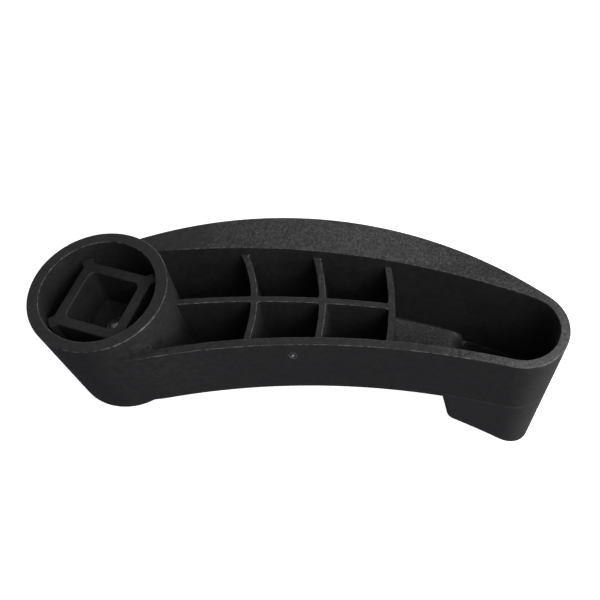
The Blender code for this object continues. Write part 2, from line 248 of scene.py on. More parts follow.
def side(centre, radius, inside, draft=1.0, flare=1.0):
    """One bounding circle; draft and flare say how far it follows a ring's wall inset and its rim flare."""
    return {"centre": Vector(centre), "radius": radius, "sense": 1.0 if inside else -1.0,
            "draft": draft, "flare": flare}


def right_of(x, draft=0.0, flare=0.0):
    return side((x - STRAIGHT_R, 0.0), STRAIGHT_R, False, draft, flare)


def meeting(c1, r1, c2, r2, hint):
    """The point that lies r1 from c1 and r2 from c2, of the two the one nearer to hint."""
    gap = c2 - c1
    d = gap.length
    along = (r1 * r1 - r2 * r2 + d * d) / (2.0 * d)
    away = math.sqrt(max(r1 * r1 - along * along, 0.0))
    base = c1 + gap * (along / d)
    across = Vector((-gap.y, gap.x)) * (away / d)
    return min((base + across, base - across), key=lambda p: (p - hint).length)


def sweep(centre, start, end, count):
    """Points on the shorter arc about centre from start to end, without end."""
    a0 = math.atan2(start.y - centre.y, start.x - centre.x)
    a1 = math.atan2(end.y - centre.y, end.x - centre.x)
    turn = (a1 - a0 + math.pi) % (2.0 * math.pi) - math.pi
    r = (start - centre).length
    return [(centre.x + r * math.cos(a0 + turn * i / count), centre.y + r * math.sin(a0 + turn * i / count))
            for i in range(count)]


def region(sides, corners, hint, wall=0.0, flare=0.0, foot=0.0, corner_low=0.5):
    """Rounded outline; corners are (radius, points, side points).

    wall and foot move its sides inwards and flare outwards; corner_low is the least radius of a corner.
    """
    hint = Vector(hint)
    moved = []
    for s in sides:
        inset = wall * s["draft"] - flare * s["flare"] + foot
        moved.append((s["centre"], s["radius"] - s["sense"] * inset, s["sense"], inset))
    stops = []
    for i, (radius, points, along) in enumerate(corners):
        c1, r1, s1, in1 = moved[i]
        c2, r2, s2, in2 = moved[(i + 1) % len(moved)]
        r = max(radius - (in1 + in2) / 2.0, corner_low)
        centre = meeting(c1, r1 - s1 * r, c2, r2 - s2 * r, hint)
        first = c1 + (centre - c1).normalized() * r1
        last = c2 + (centre - c2).normalized() * r2
        stops.append((centre, first, last, points))
    outline = []
    for i, (radius, points, along) in enumerate(corners):
        before = stops[i - 1][2]
        centre, first, last, points = stops[i]
        outline += sweep(moved[i][0], before, first, along)
        outline += sweep(centre, first, last, points)
    return outline


def rounding(radius, stop=math.pi / 2.0, steps=4):
    """(inset, rise) pairs over a rounded upper edge, from the upright side to the stop angle."""
    turns = [stop * i / steps for i in range(steps + 1)]
    return [(radius * (1.0 - math.cos(a)), radius * math.sin(a)) for a in turns]


def footing(radius, steps=4):
    """(inset, rise) pairs up a rounded lower edge, from the flat underside to the upright side."""
    turns = [math.pi / 2.0 * (1.0 - i / steps) for i in range(steps + 1)]
    return [(radius * (1.0 - math.cos(a)), radius * (1.0 - math.sin(a))) for a in turns]


def wall_levels(low, high, foot_r, rim_r):
    """(wall, flare, foot, z) for a drafted hollow: rounded foot, wall, then a rim that flares open."""
    levels = [(inner_inset(low + rise), 0.0, inset, low + rise) for inset, rise in footing(foot_r)]
    for inset, rise in rounding(rim_r, FLARE_STOP):
        z = high - rim_r + rise
        levels.append((inner_inset(z), inset, 0.0, z))
    wall, flare, _, z = levels[-1]
    above = 1.0
    levels.append((wall, flare + above * math.tan(FLARE_STOP), 0.0, z + above))
    return levels


def hollow(name, sides, corners, hint, levels):
    return loft(name, [flat(region(sides, corners, hint, wall, flare, foot), z)
                       for wall, flare, foot, z in levels])


def turned(name, profile, count):
    """Turned solid; profile is a list of (radius, z) from low to high."""
    step = 2.0 * math.pi / count
    plan = [(math.cos(i * step), math.sin(i * step)) for i in range(count)]
    return loft(name, [[(r * c, r * s, z) for c, s in plan] for r, z in profile])


# the arm

def hub_radius(z):
    return HUB_R - (HUB_TOP - z) * HUB_TAPER


def outer_inset(z):
    return (ARM_TOP - z) * OUTER_TAPER


def inner_inset(z):
    return (ARM_TOP - z) * INNER_TAPER


def arc_y(centre, radius, x):
    """Where the +Y half of a circle lies at x."""
    return centre[1] + math.sqrt(radius ** 2 - (x - centre[0]) ** 2)


def arm_outline(inset):
    """Outside of the arm; its near side runs into the hub along a tangent."""
    near = Vector(NEAR_CENTRE)
    back = Vector(BACK_CENTRE)
    centre = Vector(END_CENTRE)
    near_r = NEAR_OUTER_R + inset
    back_r = BACK_R - inset
    near_end = near + (centre - near).normalized() * near_r
    back_start = back + (centre - back).normalized() * back_r
    near_start = Vector((NEAR_START_X, arc_y(near, near_r, NEAR_START_X)))
    back_end = Vector((BACK_END_X, arc_y(back, back_r, BACK_END_X)))
    hub_r = hub_radius(ARM_TOP) - 0.2 - inset
    a = math.atan2(near_start.y, near_start.x) - math.acos(hub_r / near_start.length)
    points = [(hub_r * math.cos(a), hub_r * math.sin(a))]
    points += sweep(near, near_start, near_end, 60)
    points += sweep(centre, near_end, back_start, 40)
    points += sweep(back, back_start, back_end, 80)
    points.append(tuple(back_end))
    return points


def arm_outside():
    start = outer_inset(ARM_BOTTOM + ARM_EDGE_R)
    rings = [flat(arm_outline(start + inset), ARM_BOTTOM + rise) for inset, rise in footing(ARM_EDGE_R, 8)]
    for inset, rise in rounding(RIM_EDGE_R):
        z = ARM_TOP - RIM_EDGE_R + rise
        rings.append(flat(arm_outline(outer_inset(z) + inset), z))
    return loft("arm_body_visual", rings)


def trough_block(grow, left_x, low, high):
    """The trough's space between two heights, made larger all round by grow, with plain edges."""
    near = side(NEAR_CENTRE, NEAR_INNER_R - grow, False)
    far = side(FAR_CENTRE, FAR_INNER_R + grow, True)
    corners = [(END_INNER_R + grow, 40, 60), (3.0, 4, 60), (3.0, 4, 4)]
    levels = [(inner_inset(z), 0.0, 0.0, z) for z in (low, high)]
    return hollow("trough", [near, far, right_of(left_x)], corners, ARM_HINT, levels)


def arm_trough():
    """The trough as it is cut, with the hub's wall as its third side and rounded corners beside the hub."""
    at_rim = TROUGH_HUB_R + (HUB_TOP - ARM_TOP) * TROUGH_HUB_TAPER
    near = side(NEAR_CENTRE, NEAR_INNER_R, False)
    far = side(FAR_CENTRE, FAR_INNER_R, True)
    hub = side((0.0, 0.0), at_rim - 0.03, False, TROUGH_HUB_TAPER / INNER_TAPER, 0.0)
    corners = [(END_INNER_R, 40, 60), (HUB_CORNER_R, 8, 60), (HUB_CORNER_R, 8, 24)]
    levels = wall_levels(ARM_FLOOR, ARM_TOP, FOOT_R, TROUGH_EDGE_R)
    return hollow("trough", [near, far, hub], corners, ARM_HINT, levels)


def rib_lattice():
    """The ribs as one block with a rounded pocket for each cell; its outer skin hides in the arm."""
    grow = 1.5
    levels = [(inner_inset(z), 0.0, 0.0, z) for z in (ARM_FLOOR - 1.2, RIB_TOP)]
    near = side(NEAR_CENTRE, NEAR_INNER_R - grow, False)
    far = side(FAR_CENTRE, FAR_INNER_R + grow, True)
    last = side((0.0, 0.0), CROSS_RIB_R[-1] + RIB_T / 2.0, True, 0.0)
    left = right_of(6.0)
    corners = [(0.5, 2, 60), (0.5, 2, 24), (0.5, 2, 60), (0.5, 2, 8)]
    block = hollow("lattice", [near, last, far, left], corners, (80.0, 15.0), levels)
    pocket_levels = wall_levels(ARM_FLOOR - HIDDEN_BY, RIB_TOP, FOOT_R, RIB_EDGE_R)
    near_wall = side(NEAR_CENTRE, NEAR_INNER_R - HIDDEN_BY, False, 1.0, 0.0)
    far_wall = side(FAR_CENTRE, FAR_INNER_R + HIDDEN_BY, True, 1.0, 0.0)
    rib_near = side(LONG_RIB_CENTRE, LONG_RIB_R - RIB_T / 2.0, True, 0.15)
    rib_far = side(LONG_RIB_CENTRE, LONG_RIB_R + RIB_T / 2.0, False, 0.15)
    hub_wall = side((0.0, 0.0), TROUGH_HUB_R - 1.0, False, 0.0, 0.0)
    edges = [hub_wall]
    for r in CROSS_RIB_R:
        edges.append(side((0.0, 0.0), r - RIB_T / 2.0, True, 0.15))
        edges.append(side((0.0, 0.0), r + RIB_T / 2.0, False, 0.15))
    corners = [(RIB_CORNER_R, 5, 14)] * 4
    pockets = []
    for i in range(3):
        before = edges[2 * i]
        after = edges[2 * i + 1]
        middle = (before["radius"] + after["radius"]) / 2.0
        for low_side, high_side, a in ((near_wall, rib_near, -0.03), (rib_far, far_wall, 0.26)):
            hint = (middle * math.cos(a), middle * math.sin(a))
            sides = [low_side, after, high_side, before]
            pockets.append(hollow("pocket", sides, corners, hint, pocket_levels))
    cut(block, merge("pockets", pockets))
    return block


def hub_solid():
    edge_r = hub_radius(HUB_EDGE_R)
    profile = [(edge_r - inset, rise) for inset, rise in footing(HUB_EDGE_R, 6)]
    for inset, rise in rounding(HUB_RIM_EDGE_R):
        z = HUB_TOP - HUB_RIM_EDGE_R + rise
        profile.append((hub_radius(z) - inset, z))
    return turned("hub", profile, 160)


def trough_hub_wall():
    """The hub's wall towards the trough, drafted like the trough and rounded into its floor."""
    foot = TROUGH_HUB_R + (HUB_TOP - ARM_FLOOR) * TROUGH_HUB_TAPER
    profile = [(foot + FOOT_R, ARM_FLOOR - 1.0)]
    profile += [(foot + inset, ARM_FLOOR - HIDDEN_BY + rise) for inset, rise in footing(FOOT_R)]
    profile += [(TROUGH_HUB_R - inset, HUB_TOP - HUB_RIM_EDGE_R + rise)
                for inset, rise in rounding(HUB_RIM_EDGE_R, math.radians(60.0), 3)]
    profile.append((TROUGH_HUB_R - 2.0, HUB_TOP - 0.12))
    wall = turned("hub_wall", profile, 160)
    keep(wall, trough_block(1.0, 4.0, ARM_FLOOR - 1.5, HUB_TOP))
    return wall


def bore():
    profile = [(HUB_BORE_R_LOW - inset, HUB_FLOOR + rise) for inset, rise in footing(HUB_FOOT_R)]
    profile += [(HUB_BORE_R + inset, HUB_TOP - RIM_EDGE_R + rise)
                for inset, rise in rounding(RIM_EDGE_R, FLARE_STOP)]
    r, z = profile[-1]
    above = 0.5
    profile.append((r + above * math.tan(FLARE_STOP), z + above))
    return turned("bore", profile, 160)


def slot_outline(grow_in, grow_out):
    """Crescent between the trough's back wall and the arm's outer back wall."""
    inner_r = FAR_INNER_R + SIDE_WALL + grow_in
    outer_r = BACK_R - grow_out
    xs = [SLOT_X[0] + (SLOT_X[1] - SLOT_X[0]) * i / 60.0 for i in range(61)]
    inner = [(x, arc_y(FAR_CENTRE, inner_r, x)) for x in xs]
    outer = [(x, arc_y(BACK_CENTRE, outer_r, x)) for x in xs]
    return inner + outer[::-1]


def back_slot():
    depth = ARM_TOP - ARM_BOTTOM
    return loft("slot", [flat(slot_outline(-depth * INNER_TAPER, SLOT_BACK_INSET), ARM_BOTTOM - 2.0),
                         flat(slot_outline(0.0, SLOT_BACK_INSET), LID_UNDERSIDE)])


def end_block(name, left_x, right_x):
    """Plain block across the arm's end that limits what is cut there."""
    points = [(left_x, BLOCK_Y[0]), (right_x, BLOCK_Y[0]), (right_x, BLOCK_Y[1]), (left_x, BLOCK_Y[1])]
    return loft(name, [flat(points, z) for z in BLOCK_Z])


def grip_opening():
    """What is taken off the arm's end, below the seam: the grip's own outline with a hair of room."""
    rings = [grip_ring(-SEAM, lambda x, z=z: z) for z in (BLOCK_Z[0], JOINT_Z + SEAM)]
    return loft("opening", rings)


def end_opening():
    """The sliver of the arm's back that would stand proud of the grip's round end, below the seam."""
    far = Vector(FAR_CENTRE)
    centre = Vector(END_CENTRE)
    out = (centre - far).normalized() * 40.0
    left = centre.x - 10.0
    right = centre.x + 45.0
    near = centre.y - 40.0
    back = centre.y + out.y
    points = [(left, centre.y), (left, near), (right, near), (right, back), (centre.x + out.x, back),
              (centre.x, centre.y)]
    return loft("end_opening", [flat(points, z) for z in (BLOCK_Z[0], JOINT_Z + SEAM)])


def arm_lip():
    """Thin ring inside the arm's end that the grip laps over."""
    lip = trough_block(LIP_T, BLOCK_X[0], JOINT_Z - LIP_H, JOINT_Z + 0.8)
    cut(lip, trough_block(0.05, BLOCK_X[0], JOINT_Z - LIP_H - 1.0, JOINT_Z + 4.0))
    keep(lip, end_block("lip_limit", GRIP_LEFT_X + GRIP_LEFT_WALL + 1.0, BLOCK_X[1]))
    return lip


def gate_place():
    """Matrix whose +Z points out of the near wall, at the spot where the sprue was cut off."""
    r = NEAR_OUTER_R + outer_inset(GATE_Z)
    near = Vector(NEAR_CENTRE)
    spot = Vector((GATE_X, arc_y(near, r, GATE_X)))
    out = (near - spot).normalized()
    normal = Vector((out.x, out.y, -OUTER_TAPER)).normalized()
    matrix = normal.to_track_quat("Z", "Y").to_matrix().to_4x4()
    matrix = matrix @ Matrix.Diagonal((1.0, GATE_TALL, 1.0, 1.0))
    matrix.translation = Vector((spot.x, spot.y, GATE_Z)) * MM
    return matrix


def add_gate_mark(arm):
    """A low oval ring round a shallow dish with the sprue's stub in its middle."""
    dish = turned("dish", [(1.7, -0.3), (1.7, 1.0)], 40)
    ring = turned("ring", [(2.1, -0.8), (2.1, 0.02), (1.98, 0.14), (1.7, 0.16), (1.45, 0.0), (1.3, -0.2),
                           (0.9, -0.22), (0.75, -0.05), (0.6, 0.2), (0.2, 0.26)], 40)
    for ob in (dish, ring):
        ob.data.transform(gate_place())
    cut(arm, dish)
    join(arm, ring)


def make_arm():
    arm = arm_outside()
    cut(arm, arm_trough())
    join(arm, rib_lattice())
    cut(arm, back_slot())
    cut(arm, grip_opening())
    cut(arm, end_opening())
    join(arm, arm_lip())
    join(arm, hub_solid())
    join(arm, trough_hub_wall())
    cut(arm, bore())
    boss = turned("boss", [(BOSS_R + 1.0, HUB_FLOOR - 1.0), (BOSS_R, BOSS_TOP)], 64)
    join(arm, boss)
    add_gate_mark(arm)
    return arm


# the grip

def grip_ring(foot, z_at, flare=0.0):
    """Ring of the grip's outline moved in by foot; z_at gives the height over each x."""
    lean = GRIP_LEFT_LEAN / OUTER_TAPER
    left_x = GRIP_LEFT_X - GRIP_LEFT_LEAN * (ARM_TOP - JOINT_Z)
    near = side(NEAR_CENTRE, NEAR_OUTER_R, False, 1.0, 0.0)
    back = side(FAR_CENTRE, GRIP_BACK_R, True, 1.0, 0.0)
    sides = [near, back, right_of(left_x, lean, 1.0)]
    corners = [(END_OUTER_R, 48, 40), (GRIP_CORNER_R, 8, 40), (GRIP_CORNER_R, 8, 12)]
    high_z = 10.0
    low_z = -50.0
    high = region(sides, corners, GRIP_HINT, outer_inset(high_z), flare, foot, GRIP_CORNER_R)
    low = region(sides, corners, GRIP_HINT, outer_inset(low_z), flare, foot, GRIP_CORNER_R)
    ring = []
    for (x0, y0), (x1, y1) in zip(high, low):
        z = z_at(x0)
        for _ in range(6):
            t = (high_z - z) / (high_z - low_z)
            z = z_at(x0 + (x1 - x0) * t)
        ring.append((x0 + (x1 - x0) * t, y0 + (y1 - y0) * t, z))
    return ring


def grip_floor(x, lift):
    return GRIP_LOW_Z - (x - GRIP_LOW_X) * GRIP_SLOPE + lift


def grip_solid(name, foot, lift, wall_top, top, left_wall=0.0):
    """Grip-shaped solid, moved in by foot and up by lift, with a rounded edge round its sloped lower end.

    Its wall ends at wall_top; top lists the (z, extra, flare) of the rings from there on.
    """
    rings = []
    for inset, rise in footing(GRIP_EDGE_R, 8):
        rings.append(grip_ring(foot + inset, lambda x, up=lift + rise: grip_floor(x, up), -left_wall))
    for t in (0.25, 0.5, 0.75):
        between = lambda x, t=t: wall_top * t + grip_floor(x, lift + GRIP_EDGE_R) * (1.0 - t)
        rings.append(grip_ring(foot, between, -left_wall))
    for z, extra, flare in top:
        rings.append(grip_ring(foot + extra, lambda x, z=z: z, flare - left_wall))
    return loft(name, rings)


def make_grip():
    seam_r = 0.2
    top = [(JOINT_Z - seam_r + rise, inset, 0.0) for inset, rise in rounding(seam_r, steps=3)]
    grip = grip_solid("grip", 0.0, 0.0, JOINT_Z - seam_r, top)
    sill_low = ARM_FLOOR - SILL_R
    sill = [(sill_low + rise, 0.0, inset) for inset, rise in rounding(SILL_R, FLARE_STOP, 5)]
    sill += [(z, 0.0, SILL_R + 0.1) for z in (ARM_FLOOR + 0.4, JOINT_Z + 6.0)]
    cut(grip, grip_solid("grip_inside", GRIP_WALL, GRIP_WALL, sill_low, sill, GRIP_LEFT_WALL - GRIP_WALL))
    inside_x = GRIP_LEFT_X + GRIP_LEFT_WALL
    rebate = trough_block(LIP_T + SEAM, BLOCK_X[0], JOINT_Z - LIP_H - SEAM, JOINT_Z + 5.0)
    keep(rebate, end_block("rebate_limit", inside_x + 0.7, BLOCK_X[1]))
    cut(grip, rebate)
    step = trough_block(0.0, BLOCK_X[0], ARM_FLOOR, JOINT_Z + 5.0)
    keep(step, end_block("step_limit", BLOCK_X[0], inside_x + 2.0))
    cut(grip, step)
    return grip


# the drive socket and its screw

def rounded_square(half, corner):
    """Square outline with rounded corners, turned like the socket."""
    points = []
    for q in range(4):
        c = math.cos(q * math.pi / 2.0 + SOCKET_TURN)
        s = math.sin(q * math.pi / 2.0 + SOCKET_TURN)
        for i in range(6):
            a = i * math.pi / 2.0 / 5
            x = half - corner + corner * math.cos(a)
            y = half - corner + corner * math.sin(a)
            points.append((x * c - y * s, x * s + y * c))
    return points


def socket_lug(quarter_turn):
    a = SOCKET_TURN + math.pi / 4.0 + quarter_turn * math.pi / 2.0
    along = Vector((math.cos(a), math.sin(a)))
    across = Vector((-math.sin(a), math.cos(a)))
    corner = 1.0
    start = 20.0

    def ring(inset, z):
        half = LUG_W / 2.0 - inset
        reach = LUG_R - inset
        edge = [(start, half)] + [(reach - corner + rise, half - trim) for trim, rise in rounding(corner)]
        points = [along * out - across * over for out, over in edge]
        points += [along * out + across * over for out, over in reversed(edge)]
        return flat([tuple(p) for p in points], z)

    rings = [ring(0.0, SOCKET_BASE)]
    rings += [ring(inset, SOCKET_TOP - SOCKET_EDGE_R + rise) for inset, rise in rounding(SOCKET_EDGE_R)]
    return loft("lug", rings)


def make_socket():
    outside = [(SOCKET_OUTER_HALF, SOCKET_BASE)]
    outside += [(SOCKET_OUTER_HALF - inset, SOCKET_TOP - SOCKET_EDGE_R + rise)
                for inset, rise in rounding(SOCKET_EDGE_R)]
    socket = loft("socket", [flat(rounded_square(half, 1.6), z) for half, z in outside])
    for quarter_turn in range(4):
        join(socket, socket_lug(quarter_turn))
    key = rounded_square(KEY_HALF, 0.8)
    join(socket, loft("key", [flat(key, SOCKET_KEY_LOW), flat(key, SOCKET_BASE + 1.0)]))
    mouth = [(SOCKET_HALF - inset, SOCKET_FLOOR + rise) for inset, rise in footing(0.3)]
    mouth += [(SOCKET_HALF + inset, SOCKET_TOP - SOCKET_EDGE_R + rise)
              for inset, rise in rounding(SOCKET_EDGE_R, FLARE_STOP)]
    above = 0.5
    mouth.append((SOCKET_HALF + SOCKET_EDGE_R + above * math.tan(FLARE_STOP), SOCKET_TOP + above))
    cut(socket, loft("mouth", [flat(rounded_square(half, SOCKET_CORNER), z) for half, z in mouth]))
    cut(socket, turned("screw_hole", [(SCREW_R + 0.3, 20.0), (SCREW_R + 0.3, 50.0)], 48))
    return socket


def make_screw():
    low = WASHER_TOP + SEAM
    r = SCREW_HEAD_R
    head = turned("screw", [(r * 0.94, low), (r, low + 0.25), (r, low + 0.9), (r * 0.97, low + 1.35),
                            (r * 0.88, low + 1.8), (r * 0.72, low + 2.2), (r * 0.5, low + 2.45),
                            (r * 0.25, SCREW_TOP - 0.03), (r * 0.04, SCREW_TOP)], 72)
    for turn in (0.35, 0.35 + math.pi / 2.0):
        arm = [(-2.1, -0.36), (2.1, -0.36), (2.1, 0.36), (-2.1, 0.36)]
        c = math.cos(turn)
        s = math.sin(turn)
        wide = [(x * c - y * s, x * s + y * c) for x, y in arm]
        narrow = [(x * 0.45, y * 0.7) for x, y in wide]
        cut(head, loft("recess", [flat(narrow, SCREW_TOP - 1.7), flat(wide, SCREW_TOP + 0.1)]))
    shank = [(SCREW_R * 0.5, INSERT_LOW + 0.4)]
    pitch = 0.7
    z = INSERT_LOW + 0.9
    while z < low - 1.0:
        shank += [(SCREW_R * 0.8, z), (SCREW_R, z + pitch * 0.45), (SCREW_R, z + pitch * 0.55)]
        z += pitch
    shank += [(SCREW_R * 0.8, z), (SCREW_R * 0.95, low + 0.3)]
    join(head, turned("shank", shank, 40))
    return head


def make_washer():
    e = 0.18
    outside = [(WASHER_R - e, WASHER_LOW), (WASHER_R, WASHER_LOW + e), (WASHER_R, WASHER_TOP - e),
               (WASHER_R - e * 0.3, WASHER_TOP - e * 0.3), (WASHER_R - e, WASHER_TOP)]
    washer = turned("washer", outside, 96)
    cut(washer, turned("hole", [(SCREW_R + 0.3, WASHER_LOW - 1.0), (SCREW_R + 0.3, WASHER_TOP + 1.0)], 64))
    return washer


def make_insert():
    """Knurled brass insert with one plain groove round its middle."""
    teeth = 28
    outer = (INSERT_BOX[1].x - INSERT_BOX[0].x) / 2.0 / MM
    groove = outer - 0.4
    middle = (INSERT_LOW + INSERT_TOP) / 2.0

    def ring(radius, depth, z):
        points = []
        for i in range(teeth * 2):
            a = math.pi * i / teeth
            r = radius - (depth if i % 2 else 0.0)
            points.append((r * math.cos(a), r * math.sin(a)))
        return flat(points, z)

    levels = [(groove, 0.0, INSERT_LOW), (outer, 0.25, INSERT_LOW + 0.5), (outer, 0.25, middle - 1.0),
              (groove, 0.0, middle - 0.7), (groove, 0.0, middle + 0.7), (outer, 0.25, middle + 1.0),
              (outer, 0.25, INSERT_TOP - 0.5), (groove, 0.0, INSERT_TOP)]
    insert = loft("insert", [ring(r, d, z) for r, d, z in levels])
    cut(insert, turned("hole", [(SCREW_R + 0.1, INSERT_LOW - 1.0), (SCREW_R + 0.1, INSERT_TOP + 1.0)], 48))
    return insert


def smooth(ob):
    """Clean seams that the cuts left, then shade smoothly except over real edges."""
    near = 0.004 * MM
    bm = bmesh.new()
    bm.from_mesh(ob.data)
    bmesh.ops.remove_doubles(bm, verts=bm.verts, dist=near)
    bmesh.ops.dissolve_degenerate(bm, edges=bm.edges, dist=near)
    bmesh.ops.recalc_face_normals(bm, faces=bm.faces)
    bm.to_mesh(ob.data)
    bm.free()
    ob.data.shade_smooth()
    ob.data.set_sharp_from_angle(angle=math.radians(34.0))
    mod = ob.modifiers.new("normals", "WEIGHTED_NORMAL")
    mod.mode = "FACE_AREA"
    mod.keep_sharp = True
    mod.weight = 50


# materials

class Shade:
    """Small helper that adds nodes to one material and links them."""

    def __init__(self, name):
        self.mat = bpy.data.materials.new(name)
        self.mat.use_nodes = True
        self.nodes = self.mat.node_tree.nodes
        self.links = self.mat.node_tree.links
        self.shader = self.nodes["Principled BSDF"]
        self.place = self.add("ShaderNodeTexCoord").outputs["Object"]

    def add(self, kind, **values):
        node = self.nodes.new(kind)
        for key, value in values.items():
            setattr(node, key, value)
        return node

    def feed(self, node, socket, value):
        if isinstance(value, bpy.types.NodeSocket):
            self.links.new(value, node.inputs[socket])
        else:
            node.inputs[socket].default_value = value

    def noise(self, scale, detail, rough, stretch=None):
        node = self.add("ShaderNodeTexNoise")
        place = self.place
        if stretch:
            mapping = self.add("ShaderNodeMapping")
            self.feed(mapping, "Vector", place)
            mapping.inputs["Scale"].default_value = stretch
            place = mapping.outputs["Vector"]
        self.feed(node, "Vector", place)
        self.feed(node, "Scale", scale)
        self.feed(node, "Detail", detail)
        self.feed(node, "Roughness", rough)
        return node.outputs["Fac"]

    def math(self, operation, a, b=0.0):
        node = self.add("ShaderNodeMath", operation=operation)
        self.feed(node, 0, a)
        self.feed(node, 1, b)
        return node.outputs[0]

    def span(self, value, low, high, to_low, to_high):
        node = self.add("ShaderNodeMapRange")
        self.feed(node, "Value", value)
        self.feed(node, "From Min", low)
        self.feed(node, "From Max", high)
        self.feed(node, "To Min", to_low)
        self.feed(node, "To Max", to_high)
        return node.outputs["Result"]

    def mix(self, amount, a, b):
        node = self.add("ShaderNodeMix", data_type="RGBA")
        self.feed(node, "Factor", amount)
        for socket, value in (("A", a), ("B", b)):
            target = [i for i in node.inputs if i.name == socket and i.type == "RGBA"][0]
            if isinstance(value, bpy.types.NodeSocket):
                self.links.new(value, target)
            else:
                target.default_value = (*value, 1.0)
        return [o for o in node.outputs if o.type == "RGBA"][0]

    def slant(self):
        """The height of the surface's normal: 1 faces up, 0 is upright, -1 faces down."""
        apart = self.add("ShaderNodeSeparateXYZ")
        self.feed(apart, 0, self.add("ShaderNodeNewGeometry").outputs["Normal"])
        return apart.outputs["Z"]

    def along(self, axis):
        """One of the surface's coordinates, in metres."""
        apart = self.add("ShaderNodeSeparateXYZ")
        self.feed(apart, 0, self.place)
        return apart.outputs[axis]

    def near_spot(self, spot, inner, outer, tall=1.0):
        """1 up to inner metres from the spot, 0 from outer on; tall stretches it upwards."""
        away = self.add("ShaderNodeVectorMath", operation="SUBTRACT")
        self.feed(away, 0, self.place)
        away.inputs[1].default_value = spot
        squash = self.add("ShaderNodeVectorMath", operation="MULTIPLY")
        self.feed(squash, 0, away.outputs[0])
        squash.inputs[1].default_value = (1.0, 1.0, 1.0 / tall)
        length = self.add("ShaderNodeVectorMath", operation="LENGTH")
        self.feed(length, 0, squash.outputs[0])
        return self.span(length.outputs["Value"], inner, outer, 1.0, 0.0)

    def bump(self, height, strength, distance, under=None):
        node = self.add("ShaderNodeBump")
        self.feed(node, "Strength", strength)
        self.feed(node, "Distance", distance)
        self.feed(node, "Height", height)
        if under:
            self.feed(node, "Normal", under)
        return node.outputs["Normal"]


def grey(value):
    return (value, value, value)


